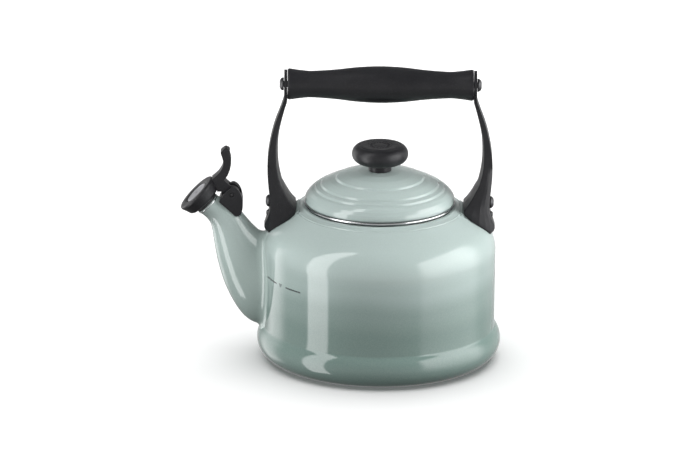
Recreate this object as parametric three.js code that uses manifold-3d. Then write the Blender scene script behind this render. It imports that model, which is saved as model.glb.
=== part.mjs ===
// Stovetop whistling kettle: enamelled steel body, bail handle, lift-off lid, sprung whistle.
// Millimetres, +Z up. Origin: centre of the flat base, on the body's axis. The spout points to -X.

import * as THREE from 'three';
import { mergeVertices } from 'three/addons/utils/BufferGeometryUtils.js';
import Module from 'manifold-3d';

const wasm = await Module();
wasm.setup();

// ---- Driving dimensions -------------------------------------------------------------------

const GAP = 0.3;                 // clearance between pieces that touch
const SHEET = 1.6;               // body sheet with its enamel
const ROUND = 48;                // facets around the large turned parts
const ROUND_LID = 40;
const ROUND_SMALL = 20;          // facets around the small turned parts
const ROUND_SCREW = 16;
const ROUND_PIN = 12;

// body
const BEAD_R = 97.4;             // widest radius, at the rounded foot bead
const BEAD_LOW_R = 15.6;         // radius of the bead below its widest line
const BEAD_HIGH_R = 20;          // radius of the bead above its widest line
const BEAD_Z = 15.9;             // height of the widest line
const BEAD_SWEEP = 38;           // degrees of the upper bead arc
const WALL_LOW_R = 92.6;
const WALL_TOP_R = 93.1;
const WALL_LOW_Z = 33;
const SHOULDER_R = 28;           // radius of the turn from wall to shoulder
const SHOULDER_ANGLE = 37.5;     // fall of the shoulder cone, degrees
const SHOULDER_POINT = [70, 121.4];  // radius and height of a point on the shoulder cone
const SHOULDER_TOP_R = 66.4;     // where the cone ends and the mouth rim begins
const RIM_Z = 126.2;             // top of the mouth rim
const RIM_OUT_R = 62.6;
const MOUTH_R = 58.4;            // clear radius of the filling mouth
const MOUTH_LIP_Z = 119;         // lower end of the mouth's turned-in lip
const BASE_R = 81.2;
const BASE_THICK = 1.8;
const BASE_LIP_H = 1.6;          // upturned edge of the base pan

// lid, heights above the lid's seat
const LID_SEAT_Z = RIM_Z + GAP;
const LID_R = 59.8;
const LID_RIM_R = 60.4;
const LID_RIM_H = 2.6;
const LID_COLLAR_R = 56.6;
const LID_COLLAR_DEPTH = 12;
const COLLAR_SHEET = 1;
const LID_SHEET = 1.4;
const LID_TOP_H = 28.3;          // height of the knob's seat
const KNOB_R = 22.6;
const KNOB_NECK_R = 9.4;
const KNOB_NECK_H = 6;
const KNOB_H = 14.8;
const KNOB_RECESS = 3.4;         // recess under the knob's top
const KNOB_BOLT_R = 2;
const KNOB_HOLE_R = 2.9;
const WASHER_R = 6.4;
const WASHER_THICK = 0.8;

// handle
const GRIP_Z = 226.3;            // height of the grip's axis
const GRIP_HALF = 74.2;          // half the grip's length
const GRIP_END_R = 12.5;
const GRIP_WAIST_R = 10.7;
const GRIP_WAIST_X = 54;
const GRIP_MID_R = 14.7;
const GRIP_HOLE_R = 4.2;
const GRIP_HOLE_DEPTH = 24;
const INSERT_R = 3.9;            // threaded bush in the grip's end
const INSERT_LENGTH = 18;
const SCREW_R = 2.5;             // shank of the grip and arm screws
const SCREW_HEAD_H = 3.4;
const GRIP_SCREW_HEAD_R = 5.2;
const ARM_SCREW_HEAD_R = 4.9;
const PIN_R = 1.6;
const PIN_HEAD_R = 2.7;
const PLATE_THICK = 2.4;         // end plate of each arm
const PLATE_R = 11.6;
const ARM_SCREW_Z = 128.8;
const ARM_PIN_Z = 118.8;
const ARM_SCREW_X = 87.9;        // outer face of the foot at the screw
const ARM_FAR_X = 98;            // the arm lies inside this distance from the body's axis
const LUG_OUT_X = 83.6;
const LUG_IN_X = 69.6;
const LUG_TOP_Z = 131;
const LUG_HALF_Y = 6.4;
const PAD_IN_X = 64.4;
const PAD_LENGTH = 21;
const PAD_INSET = 2.2;           // the pad is this much narrower than the foot over it
const PAD_THICK = 1.2;

// spout and whistle
const MOUTH_CENTRE = [-137.5, 126.2];  // x and z of the middle of the spout's mouth
const MOUTH_TILT = 45;           // the mouth's axis leans this far from +Z to -X, degrees
const SPOUT_MOUTH_R = 10;
const SPOUT_WALL = 1.4;
const SPOUT_LIP_R = 0.9;         // rolled lip of the spout's mouth
const TAB_HALF_Y = 1;
const CAP_TOP_R = 17.7;
const CAP_LOW_R = 15.1;
const CAP_BORE_R = 10.1;
const CAP_SHELF_R = 7;
const CAP_LOW_H = 3.1;           // heights on the whistle are measured from the mouth's plane
const CAP_TOP_H = 13.6;
const SHELF_LOW_H = 5.3;
const SHELF_TOP_H = 12;
const PLATE_OUT_R = 9.75;
const PLATE_HOLE_R = 1.2;
const PLATE_SHEET = 0.6;
const SEAL_HOLE_R = 5;
const PIVOT = [-118.2, 136.1];   // x and z of the whistle's hinge
const PIVOT_R = 1.4;
const HUB_R = 6.2;
const HUB_HALF_Y = 5.6;
const HUB_ROOM = 1.2;            // clearance around the hub inside the bracket
const SLOT_HALF_Y = 2.9;         // slot in the hub that holds the spring
const EAR_IN_Y = 6.1;
const EAR_OUT_Y = 9.4;
const SPRING_R = 3.1;
const SPRING_HALF_Y = 2.1;
const SPRING_TURNS = 3.75;
const WIRE_R = 0.4;

// ---- Helpers --------------------------------------------------------------------------------

const radians = THREE.MathUtils.degToRad;

function arc(cx, cz, radius, from, to, steps) {
  const points = [];
  for (let i = 0; i <= steps; i += 1) {
    const angle = radians(from + (to - from) * i / steps);
    points.push(new THREE.Vector2(cx + radius * Math.cos(angle), cz + radius * Math.sin(angle)));
  }
  return points;
}

function at(...pairs) {
  return pairs.map(([x, y]) => new THREE.Vector2(x, y));
}

// Profile points are radius and height; the axis of the turned piece is +Z.
function turned(profile, segments) {
  return new THREE.LatheGeometry(profile, segments).rotateX(Math.PI / 2);
}

function ring(inner, outer, low, high, segments) {
  return turned(at([inner, low], [outer, low], [outer, high], [inner, high], [inner, low]), segments);
}

function disc(radius, low, high, segments) {
  return turned(at([0, low], [radius, low], [radius, high], [0, high]), segments);
}

// An outline in the XZ plane, thickened evenly about y = 0.
function slab(outline, halfY) {
  const options = { depth: 2 * halfY, bevelEnabled: false, curveSegments: 2 };
  return new THREE.ExtrudeGeometry(outline, options).rotateX(Math.PI / 2).translate(0, halfY, 0);
}

function barAlongY(radius, x, z, fromY, toY, segments) {
  return disc(radius, fromY, toY, segments).rotateX(-Math.PI / 2).translate(x, 0, z);
}

function barAlongX(radius, z, fromX, toX, segments) {
  return disc(radius, fromX, toX, segments).rotateY(Math.PI / 2).translate(0, 0, z);
}

function toSolid(geometry) {
  const bare = geometry.clone();
  bare.deleteAttribute('normal');
  bare.deleteAttribute('uv');
  const merged = mergeVertices(bare, 1e-4);
  const index = merged.getIndex().array;
  const triangles = [];
  for (let i = 0; i < index.length; i += 3) {
    const [a, b, c] = [index[i], index[i + 1], index[i + 2]];
    if (a !== b && b !== c && c !== a) triangles.push(a, b, c);
  }
  return new wasm.Manifold(new wasm.Mesh({
    numProp: 3,
    vertProperties: new Float32Array(merged.getAttribute('position').array),
    triVerts: new Uint32Array(triangles),
  }));
}

function toGeometry(solid) {
  const mesh = solid.getMesh();
  const geometry = new THREE.BufferGeometry();
  geometry.setAttribute('position', new THREE.BufferAttribute(mesh.vertProperties, 3));
  geometry.setIndex(new THREE.BufferAttribute(mesh.triVerts, 1));
  geometry.computeVertexNormals();
  return geometry;
}

function cut(geometry, ...tools) {
  return toGeometry(tools.reduce((solid, tool) => solid.subtract(toSolid(tool)), toSolid(geometry)));
}

function join(geometry, ...more) {
  return toGeometry(more.reduce((solid, piece) => solid.add(toSolid(piece)), toSolid(geometry)));
}

function common(geometry, other) {
  return toGeometry(toSolid(geometry).intersect(toSolid(other)));
}

// A closed skin over rings of equal length, with a flat cap on the first and last ring.
function loft(rings) {
  const count = rings[0].length;
  const positions = rings.flat().flatMap((point) => [point.x, point.y, point.z]);
  const faces = [];
  for (let row = 0; row + 1 < rings.length; row += 1) {
    for (let i = 0; i < count; i += 1) {
      const next = (i + 1) % count;
      const a = row * count + i;
      const b = row * count + next;
      faces.push(a, a + count, b, b, a + count, b + count);
    }
  }
  const last = (rings.length - 1) * count;
  for (let i = 1; i + 1 < count; i += 1) {
    faces.push(0, i, i + 1, last, last + i + 1, last + i);
  }
  const geometry = new THREE.BufferGeometry();
  geometry.setAttribute('position', new THREE.Float32BufferAttribute(positions, 3));
  geometry.setIndex(faces);
  return geometry;
}

// ---- Materials ------------------------------------------------------------------------------

function finish(color, roughness, metalness) {
  return new THREE.MeshStandardMaterial({ color, roughness, metalness });
}

const enamel = finish(0xa9bbb6, 0.12, 0);
const phenolic = finish(0x2b2b2d, 0.6, 0);
const stainless = finish(0xc8c9cb, 0.25, 1);
const blackSteel = finish(0x1c1c1e, 0.35, 0.6);
const brass = finish(0xb9975a, 0.35, 1);
const silicone = finish(0x1f1f20, 0.75, 0);

const kettle = new THREE.Group();

function add(name, geometry, material, parent = kettle) {
  const mesh = new THREE.Mesh(geometry, material);
  mesh.name = name;
  parent.add(mesh);
  return mesh;
}

// ---- Body -----------------------------------------------------------------------------------

// Outside of the body from the base up to the end of the shoulder cone, moved out by an offset.
function bodyOutline(offset, steps = 5) {
  const lean = radians(SHOULDER_ANGLE);
  const normal = [Math.sin(lean), Math.cos(lean)];
  const bendX = WALL_TOP_R - SHOULDER_R;
  const bendZ = SHOULDER_POINT[1]
    - (SHOULDER_R - (SHOULDER_POINT[0] - bendX) * normal[0]) / normal[1];
  const topZ = SHOULDER_POINT[1] + (SHOULDER_POINT[0] - SHOULDER_TOP_R) * Math.tan(lean);
  const lowX = BEAD_R - BEAD_LOW_R;
  const highX = BEAD_R - BEAD_HIGH_R;
  return [
    ...arc(lowX, BEAD_Z, BEAD_LOW_R + offset, -90, 0, steps),
    ...arc(highX, BEAD_Z, BEAD_HIGH_R + offset, 0, BEAD_SWEEP, steps - 2).slice(1),
    ...at([WALL_LOW_R + 0.1 + offset, 30.4], [WALL_LOW_R + offset, WALL_LOW_Z]),
    ...arc(bendX, bendZ, SHOULDER_R + offset, 0, 90 - SHOULDER_ANGLE, steps - 1),
    ...at([SHOULDER_TOP_R + offset * normal[0], topZ + offset * normal[1]]),
  ];
}

// The body as a solid block, grown by an offset: what its neighbours are cut back to.
function bodyBlock(offset) {
  const outline = bodyOutline(offset);
  const rim = at(
    [RIM_OUT_R, RIM_Z - 0.7 + offset], [RIM_OUT_R - 1.2, RIM_Z + offset], [0, RIM_Z + offset],
  );
  return turned([...at([0, outline[0].y]), ...outline, ...rim], ROUND);
}

function bodyShell() {
  const inside = bodyOutline(-SHEET, 3).reverse();
  const profile = [
    ...bodyOutline(0),
    ...at([RIM_OUT_R, RIM_Z - 0.7], [RIM_OUT_R - 1.2, RIM_Z]),
    ...at([MOUTH_R + 0.8, RIM_Z], [MOUTH_R, RIM_Z - 0.8], [MOUTH_R, MOUTH_LIP_Z]),
    ...at([MOUTH_R + SHEET, MOUTH_LIP_Z], [MOUTH_R + SHEET, RIM_Z - 2.3]),
    ...at([RIM_OUT_R - 0.2, RIM_Z - 2.2]),
    ...inside,
    bodyOutline(0)[0].clone(),
  ];
  return cut(turned(profile, ROUND), spoutLoft(-SPOUT_WALL));
}

function basePan() {
  const rimTop = BASE_THICK + BASE_LIP_H;
  const profile = at(
    [0, 0], [BASE_R - 0.8, 0], [BASE_R, 0.8], [BASE_R, rimTop], [BASE_R - 1.4, rimTop],
    [BASE_R - 1.8, BASE_THICK], [0, BASE_THICK],
  );
  return turned(profile, ROUND);
}

// ---- Spout ----------------------------------------------------------------------------------

// Stations from the mouth to the body: lower edge x and z, upper edge x and z, half width in y.
const SPOUT_STATIONS = [
  [-144.4, 119.3, -130.6, 133.1, 10.0],
  [-139.2, 115.4, -125.0, 129.8, 9.8],
  [-135.2, 110.0, -119.0, 125.8, 10.4],
  [-133.3, 101.8, -111.4, 120.3, 12.2],
  [-131.6, 90.6, -105.8, 114.0, 14.4],
  [-128.5, 75.6, -101.4, 108.8, 16.6],
  [-122.4, 56.8, -97.4, 105.0, 18.6],
  [-111.6, 37.2, -94.4, 102.6, 20.0],
  [-100.0, 27.4, -91.6, 101.2, 20.6],
  [-84.0, 25.0, -84.0, 100.2, 20.8],
];

function spoutRing([lowX, lowZ, highX, highZ, half], offset, count) {
  const middle = new THREE.Vector3((lowX + highX) / 2, 0, (lowZ + highZ) / 2);
  const up = new THREE.Vector3((highX - lowX) / 2, 0, (highZ - lowZ) / 2);
  const rise = up.length() + offset;
  up.normalize();
  const points = [];
  for (let i = 0; i < count; i += 1) {
    const angle = 2 * Math.PI * i / count;
    points.push(middle.clone()
      .addScaledVector(up, rise * Math.cos(angle))
      .add(new THREE.Vector3(0, (half + offset) * Math.sin(angle), 0)));
  }
  return points;
}

// The spout's form, grown by an offset. A bore (negative offset) runs out past both ends.
function spoutLoft(offset, stations = SPOUT_STATIONS) {
  const rings = stations.map((station) => spoutRing(station, offset, ROUND_SMALL));
  if (offset < 0) {
    const tilt = radians(MOUTH_TILT);
    const beyond = new THREE.Vector3(-Math.sin(tilt), 0, Math.cos(tilt)).multiplyScalar(4);
    rings.unshift(rings[0].map((point) => point.clone().add(beyond)));
  }
  return loft(rings);
}

// Pieces of the whistle are turned about the mouth's axis and leave the lathe upright.
function onMouth(geometry) {
  return geometry
    .rotateY(-radians(MOUTH_TILT))
    .translate(MOUTH_CENTRE[0], 0, MOUTH_CENTRE[1]);
}

function spout() {
  const roll = new THREE.TorusGeometry(SPOUT_MOUTH_R - 0.5, SPOUT_LIP_R, 6, ROUND_SMALL);
  const lip = onMouth(roll.translate(0, 0, -SPOUT_LIP_R));
  return cut(join(spoutLoft(0), lip), spoutLoft(-SPOUT_WALL), bodyBlock(GAP));
}

// Side outline of the steel tab welded along the top of the spout, grown by an offset.
function tabOutline(offset) {
  return new THREE.Shape(at(
    [-122 - offset, 120], [-122 - offset, 130.2 + offset], [-112 + offset, 123.6 + offset],
    [-112 + offset, 112],
  ));
}

function spoutTab() {
  return cut(slab(tabOutline(0), TAB_HALF_Y), spoutLoft(GAP));
}

// ---- Handle ---------------------------------------------------------------------------------

// Side outline of an arm at the -X end: outer edge downwards, then inner edge upwards.
const ARM_OUTER = [
  [-GRIP_HALF - GAP - PLATE_THICK, 215.4], [-79.8, 206.4], [-84.2, 194], [-87.6, 180],
  [-89.6, 166], [-89.8, 154], [-88.8, 141], [-ARM_SCREW_X, 133], [-ARM_SCREW_X, 121],
  [-90, 116.4], [-92.2, 110.4], [-91.4, 106], [-88.4, 104],
];
const ARM_INNER = [
  [-66.4, 117], [-66.6, 125.4], [-71.4, 130.6], [-78.4, 143.6], [-82, 157], [-83, 171],
  [-82.2, 184], [-79.6, 196], [-76.7, 206], [-GRIP_HALF - GAP, 212.6],
];

function armOutline() {
  const shape = new THREE.Shape();
  shape.moveTo(-GRIP_HALF - GAP, GRIP_Z + PLATE_R + 1);
  shape.lineTo(-GRIP_HALF - GAP - PLATE_THICK, GRIP_Z + PLATE_R + 1);
  shape.lineTo(...ARM_OUTER[0]);
  shape.splineThru(at(...ARM_OUTER.slice(1, 8)));
  shape.lineTo(...ARM_OUTER[8]);
  shape.splineThru(at(...ARM_OUTER.slice(9)));
  shape.lineTo(...ARM_INNER[0]);
  shape.lineTo(...ARM_INNER[1]);
  shape.splineThru(at(...ARM_INNER.slice(2)));
  return shape;
}

// Half widths of an arm against height, from the foot up to the neck under the end plate.
const ARM_WIDTHS = [
  [18.8, 100], [18.4, 123], [15.8, 130], [13.6, 142], [11.8, 160], [9.4, 180], [7.2, 197],
  [6.4, 208], [7.2, 214],
];

// Outline of an arm seen along X: round end plate, narrow neck, wide foot.
function armFront() {
  const shape = new THREE.Shape();
  shape.moveTo(...ARM_WIDTHS[0]);
  shape.lineTo(...ARM_WIDTHS[1]);
  shape.splineThru(at(...ARM_WIDTHS.slice(2)));
  shape.absarc(0, GRIP_Z, PLATE_R, radians(-40), radians(220), false);
  const mirrored = ARM_WIDTHS.map(([half, z]) => [-half, z]).reverse();
  shape.lineTo(...mirrored[0]);
  shape.splineThru(at(...mirrored.slice(1, -1)));
  shape.lineTo(...mirrored[mirrored.length - 1]);
  const options = { depth: ARM_FAR_X - PAD_IN_X, bevelEnabled: false, curveSegments: 2 };
  return new THREE.ExtrudeGeometry(shape, options)
    .rotateX(Math.PI / 2)
    .rotateZ(Math.PI / 2)
    .translate(-ARM_FAR_X, 0, 0);
}

// Outline of the foot seen from above: wide against the lid, rounded off outwards.
function armPlan(grow) {
  const half = [[-91.6, 5.5], [-89.6, 9.5], [-86, 13.2], [-81, 16.2], [-74, 18.4], [-60, 19.4]];
  const corners = half.map(([x, y]) => [x - grow, y + grow]);
  const mirrored = corners.map(([x, y]) => [x, -y]).reverse();
  const shape = new THREE.Shape(at(...corners, ...mirrored));
  const options = { depth: GRIP_Z, bevelEnabled: false };
  return new THREE.ExtrudeGeometry(shape, options).translate(0, 0, BEAD_Z);
}

function lugOutline(grow) {
  const outX = -LUG_OUT_X - grow;
  const inX = -LUG_IN_X + grow;
  const top = LUG_TOP_Z + grow;
  return new THREE.Shape(at(
    [outX, 100], [outX, top], [inX - 6.4, top], [inX, top - 7], [inX, 100],
  ));
}

// Pad under the foot, welded to the shoulder; its inner edge stands out from the foot.
function lugPad(grow) {
  const length = PAD_LENGTH + grow;
  const block = new THREE.BoxGeometry(length, 60, 40)
    .translate(-PAD_IN_X - length / 2, 0, ARM_PIN_Z - 4);
  const plan = common(block, armPlan(grow - PAD_INSET));
  return common(plan, bodyBlock(GAP + PAD_THICK + grow));
}

// Upright block on a pad: the arm's foot is a hood over it, held by a screw and a pin.
function lug() {
  return cut(
    join(lugPad(0), slab(lugOutline(0), LUG_HALF_Y)),
    bodyBlock(GAP),
    barAlongX(SCREW_R + GAP, ARM_SCREW_Z, -ARM_FAR_X, -72, ROUND_SCREW),
    barAlongX(PIN_R + GAP, ARM_PIN_Z, -ARM_FAR_X, -78, ROUND_PIN),
  );
}

function arm() {
  return cut(
    common(common(slab(armOutline(), BASE_R), armFront()), armPlan(0)),
    bodyBlock(GAP),
    lugPad(GAP),
    slab(lugOutline(GAP), LUG_HALF_Y + GAP),
    barAlongX(SCREW_R + GAP, GRIP_Z, -ARM_FAR_X, -70, ROUND_SCREW),
    barAlongX(SCREW_R + GAP, ARM_SCREW_Z, -ARM_FAR_X, -72, ROUND_SCREW),
    barAlongX(PIN_R + GAP, ARM_PIN_Z, -ARM_FAR_X, -78, ROUND_PIN),
    barAlongX(PIN_HEAD_R + GAP, ARM_PIN_Z, -ARM_FAR_X, -ARM_SCREW_X, ROUND_SCREW),
  );
}

function gripProfile() {
  const bulge = new THREE.SplineCurve(at(
    [GRIP_END_R, -GRIP_HALF + 1.6], [GRIP_WAIST_R + 0.5, -GRIP_WAIST_X - 9],
    [GRIP_WAIST_R, -GRIP_WAIST_X], [GRIP_WAIST_R + 1.2, -36], [GRIP_MID_R - 0.8, -18],
    [GRIP_MID_R, 0], [GRIP_MID_R - 0.8, 18], [GRIP_WAIST_R + 1.2, 36],
    [GRIP_WAIST_R, GRIP_WAIST_X],
    [GRIP_WAIST_R + 0.5, GRIP_WAIST_X + 9], [GRIP_END_R, GRIP_HALF - 1.6],
  ));
  const holeEnd = GRIP_HALF - GRIP_HOLE_DEPTH;
  return [
    ...at([0, -holeEnd], [GRIP_HOLE_R, -holeEnd], [GRIP_HOLE_R, -GRIP_HALF]),
    ...at([GRIP_END_R - 0.8, -GRIP_HALF]),
    ...bulge.getPoints(14),
    ...at([GRIP_END_R - 0.8, GRIP_HALF], [GRIP_HOLE_R, GRIP_HALF]),
    ...at([GRIP_HOLE_R, holeEnd], [0, holeEnd]),
  ];
}

function grip() {
  return turned(gripProfile(), ROUND_SMALL).rotateY(Math.PI / 2).translate(0, 0, GRIP_Z);
}

// Threaded bush moulded into each end of the grip, drawn at the -X end.
function gripInsert() {
  return ring(SCREW_R + GAP, INSERT_R, 0, INSERT_LENGTH, ROUND_PIN)
    .rotateY(Math.PI / 2)
    .translate(-GRIP_HALF + 2 * GAP, 0, GRIP_Z);
}

// Pan-head screw whose head seats at x = seat and whose shank runs towards +X.
function screw(headR, headH, shankR, length, seat, z) {
  const profile = [
    ...at([0, -headH], [headR * 0.55, -headH], [headR * 0.9, -headH * 0.62], [headR, -headH * 0.3]),
    ...at([headR, 0], [shankR, 0], [shankR, length], [0, length]),
  ];
  return turned(profile, ROUND_SCREW).rotateY(Math.PI / 2).translate(seat, 0, z);
}

function gripScrew() {
  const seat = -GRIP_HALF - 2 * GAP - PLATE_THICK;
  return screw(GRIP_SCREW_HEAD_R, SCREW_HEAD_H, SCREW_R, 20, seat, GRIP_Z);
}

function armScrew() {
  return screw(ARM_SCREW_HEAD_R, SCREW_HEAD_H, SCREW_R, 14, -ARM_SCREW_X - GAP, ARM_SCREW_Z);
}

function armPin() {
  return screw(PIN_HEAD_R, 2.2, PIN_R, 8, -ARM_SCREW_X - GAP, ARM_PIN_Z);
}

// ---- Lid ------------------------------------------------------------------------------------

// Outside of the lid from its rolled edge to the knob's seat: three shallow terraces.
function lidOutline() {
  const edge = LID_SEAT_Z + LID_RIM_H + GAP;
  const top = LID_SEAT_Z + LID_TOP_H;
  return at(
    [LID_R, edge + 0.9], [LID_R, edge + 2.7], [59, LID_SEAT_Z + 7.6], [57.2, LID_SEAT_Z + 10.1],
    [54.8, LID_SEAT_Z + 12.5], [52, LID_SEAT_Z + 14.2], [50.8, LID_SEAT_Z + 15.3],
    [47.2, LID_SEAT_Z + 16.8], [45.6, LID_SEAT_Z + 18.1], [35.4, LID_SEAT_Z + 22.4],
    [33.6, LID_SEAT_Z + 23.7], [22, LID_SEAT_Z + 27], [10, top], [KNOB_HOLE_R, top],
  );
}

function lidInside() {
  const top = LID_SEAT_Z + LID_TOP_H - LID_SHEET;
  return at(
    [LID_R - 2.4, LID_SEAT_Z + 6.4], [54.6, LID_SEAT_Z + 10.4], [46.4, LID_SEAT_Z + 15.6],
    [34, LID_SEAT_Z + 21.6], [22, LID_SEAT_Z + 25.4], [10, top], [KNOB_HOLE_R, top],
  );
}

function lidShell() {
  const edge = LID_SEAT_Z + LID_RIM_H + GAP;
  const profile = [
    ...at([LID_R - 0.9, edge]),
    ...lidOutline(),
    ...lidInside().reverse(),
    ...at([LID_R - 2.4, edge], [LID_R - 0.9, edge]),
  ];
  return turned(profile, ROUND_LID);
}

function lidRim() {
  const low = LID_SEAT_Z;
  const inner = LID_COLLAR_R - COLLAR_SHEET;
  const profile = at(
    [inner, low], [LID_RIM_R - 0.6, low], [LID_RIM_R, low + 0.6],
    [LID_RIM_R, low + LID_RIM_H - 0.6], [LID_RIM_R - 0.6, low + LID_RIM_H],
    [inner, low + LID_RIM_H], [inner, low],
  );
  return turned(profile, ROUND_LID);
}

// Skirt that hangs into the filling mouth and keeps the lid from sliding off.
function lidCollar() {
  const top = LID_SEAT_Z - GAP;
  const inner = LID_COLLAR_R - COLLAR_SHEET;
  return ring(inner, LID_COLLAR_R, top - LID_COLLAR_DEPTH, top, ROUND_LID);
}

function knob() {
  const low = LID_SEAT_Z + LID_TOP_H + KNOB_NECK_H + 2 * GAP;
  const middle = low + 7.5;
  const top = low + KNOB_H;
  const edgeR = 7.4;
  const profile = [
    ...at([KNOB_HOLE_R, low], [13, low]),
    ...arc(KNOB_R - edgeR, middle, edgeR, -75, 80, 6),
    ...at([13.5, top], [0, top], [0, top - KNOB_RECESS], [KNOB_HOLE_R, top - KNOB_RECESS]),
    ...at([KNOB_HOLE_R, low]),
  ];
  return turned(profile, 28);
}

function knobNeck() {
  const low = LID_SEAT_Z + LID_TOP_H + GAP;
  return ring(KNOB_HOLE_R, KNOB_NECK_R, low, low + KNOB_NECK_H, ROUND_SMALL);
}

function knobScrew() {
  const seat = LID_SEAT_Z + LID_TOP_H - LID_SHEET - 2 * GAP - WASHER_THICK;
  const length = 18;
  const profile = at(
    [0, seat - 2.4], [3.4, seat - 2.4], [4, seat - 1.6], [4, seat],
    [KNOB_BOLT_R, seat], [KNOB_BOLT_R, seat + length], [0, seat + length],
  );
  return turned(profile, ROUND_SMALL);
}

function knobWasher() {
  const top = LID_SEAT_Z + LID_TOP_H - LID_SHEET - GAP;
  return ring(KNOB_BOLT_R + GAP, WASHER_R, top - WASHER_THICK, top, ROUND_SMALL);
}

// ---- Whistle --------------------------------------------------------------------------------

function whistleCap() {
  const profile = at(
    [CAP_SHELF_R, SHELF_LOW_H], [CAP_BORE_R, SHELF_LOW_H], [CAP_BORE_R, CAP_LOW_H],
    [CAP_LOW_R - 1.4, CAP_LOW_H], [CAP_LOW_R, CAP_LOW_H + 0.9],
    [CAP_TOP_R, CAP_TOP_H - 2], [CAP_TOP_R - 0.5, CAP_TOP_H - 0.7], [CAP_TOP_R - 1.8, CAP_TOP_H],
    [CAP_BORE_R + 0.7, CAP_TOP_H - 0.6], [CAP_BORE_R, CAP_TOP_H - 1.2],
    [CAP_BORE_R, SHELF_TOP_H], [CAP_SHELF_R, SHELF_TOP_H], [CAP_SHELF_R, SHELF_LOW_H],
  );
  return turned(profile, ROUND_SMALL);
}

// The cap as a solid block, grown by an offset: the lever's root is cut back to it.
function capBlock(offset) {
  const profile = at(
    [0, CAP_LOW_H - offset], [CAP_LOW_R + offset, CAP_LOW_H - offset],
    [CAP_LOW_R + offset, CAP_LOW_H + 0.9],
    [CAP_TOP_R + offset, CAP_TOP_H - 2], [CAP_TOP_R + offset, CAP_TOP_H + offset],
    [0, CAP_TOP_H + offset],
  );
  return onMouth(turned(profile, ROUND_SMALL));
}

// Flange that seals on the mouth's lip, with a short spigot in the bore.
function whistleSeal() {
  const top = SHELF_LOW_H - GAP - PLATE_SHEET - 0.2;
  const profile = at(
    [SEAL_HOLE_R, -2.4], [6.6, -2.4], [7.2, -0.4], [7.2, GAP], [9.8, GAP], [9.8, top],
    [SEAL_HOLE_R, top], [SEAL_HOLE_R, -2.4],
  );
  return turned(profile, ROUND_SMALL);
}

function whistlePlate(low) {
  return ring(PLATE_HOLE_R, PLATE_OUT_R, low, low + PLATE_SHEET, ROUND_SMALL);
}

// Thumb tab, root against the cap, and the arm down to the hinge hub, seen from the side.
function leverOutline() {
  const shape = new THREE.Shape();
  shape.moveTo(-134.8, 147);
  shape.splineThru(at([-128.6, 153], [-125.3, 159.4], [-125.8, 166], [-126.8, 169.8]));
  shape.quadraticCurveTo(-125.8, 172, -122.9, 172.8);
  shape.quadraticCurveTo(-121, 172, -120.1, 169.4);
  shape.splineThru(at([-118.8, 163.2], [-119.6, 156.8], [-121.8, 150.8], [-124.6, 147]));
  shape.lineTo(-115.8, 139.4);
  shape.lineTo(-121.4, 132.6);
  shape.lineTo(-126.6, 137.6);
  shape.lineTo(-136, 137.6);
  return shape;
}

function whistleLever() {
  const [px, pz] = PIVOT;
  const hub = barAlongY(HUB_R, px, pz, -HUB_HALF_Y, HUB_HALF_Y, ROUND_SMALL);
  const slot = new THREE.BoxGeometry(15, 2 * SLOT_HALF_Y, 15)
    .rotateY(-radians(MOUTH_TILT))
    .translate(px + 0.6, 0, pz - 0.6);
  return cut(
    join(slab(leverOutline(), HUB_HALF_Y), hub),
    capBlock(GAP),
    slot,
    barAlongY(PIVOT_R + GAP, px, pz, -CAP_TOP_R, CAP_TOP_R, ROUND_PIN),
  );
}

// Clevis on the spout: two rounded ears, joined by a web behind the hub.
function bracketOutline(bulge) {
  const shape = new THREE.Shape();
  shape.moveTo(-128.2, 130);
  shape.splineThru(at(
    [-127.6, 131.4], [-121.4, 139.4], [-117, 142.2], [-113.4 + bulge, 139.2],
    [-111.2 + bulge, 133], [-110.8 + bulge, 125.4], [-112 + bulge, 119.4], [-114, 118.2],
    [-115.8, 118.6],
  ));
  return shape;
}

function whistleBracket() {
  const [px, pz] = PIVOT;
  const roomR = HUB_R + HUB_ROOM;
  const hubRoom = barAlongY(roomR, px, pz, -EAR_IN_Y, EAR_IN_Y, ROUND_SMALL);
  const swing = new THREE.Shape();
  swing.moveTo(px - 26, pz - 3);
  swing.lineTo(px - roomR, pz - 3);
  swing.lineTo(px + roomR, pz - 1);
  swing.lineTo(px + 16, pz + 4);
  swing.lineTo(px + 16, pz + 20);
  swing.lineTo(px - 26, pz + 20);
  return cut(
    join(slab(bracketOutline(0), EAR_OUT_Y), slab(bracketOutline(1.6), EAR_IN_Y)),
    spoutLoft(GAP),
    hubRoom,
    slab(swing, EAR_IN_Y),
    barAlongY(PIVOT_R + GAP, px, pz, -CAP_TOP_R, CAP_TOP_R, ROUND_PIN),
    slab(tabOutline(GAP), TAB_HALF_Y + GAP),
  );
}

function hingePin() {
  const [px, pz] = PIVOT;
  return barAlongY(PIVOT_R, px, pz, -EAR_OUT_Y + GAP, EAR_OUT_Y - GAP, ROUND_SCREW);
}

class SpringPath extends THREE.Curve {
  getPoint(t, target = new THREE.Vector3()) {
    const angle = 2 * Math.PI * SPRING_TURNS * t;
    const x = PIVOT[0] + SPRING_R * Math.sin(angle);
    const z = PIVOT[1] - SPRING_R * Math.cos(angle);
    return target.set(x, SPRING_HALF_Y * (2 * t - 1), z);
  }
}

function hingeSpring() {
  const wire = new THREE.Shape();
  wire.absarc(0, 0, WIRE_R, 0, 2 * Math.PI, false);
  const extrudePath = new SpringPath();
  const options = { steps: 45, bevelEnabled: false, curveSegments: 3, extrudePath };
  return new THREE.ExtrudeGeometry(wire, options);
}

// ---- Assembly -------------------------------------------------------------------------------

add('body_shell', bodyShell(), enamel);
add('base_pan', basePan(), stainless);
add('spout', spout(), enamel);
add('spout_tab', spoutTab(), enamel);

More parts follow.
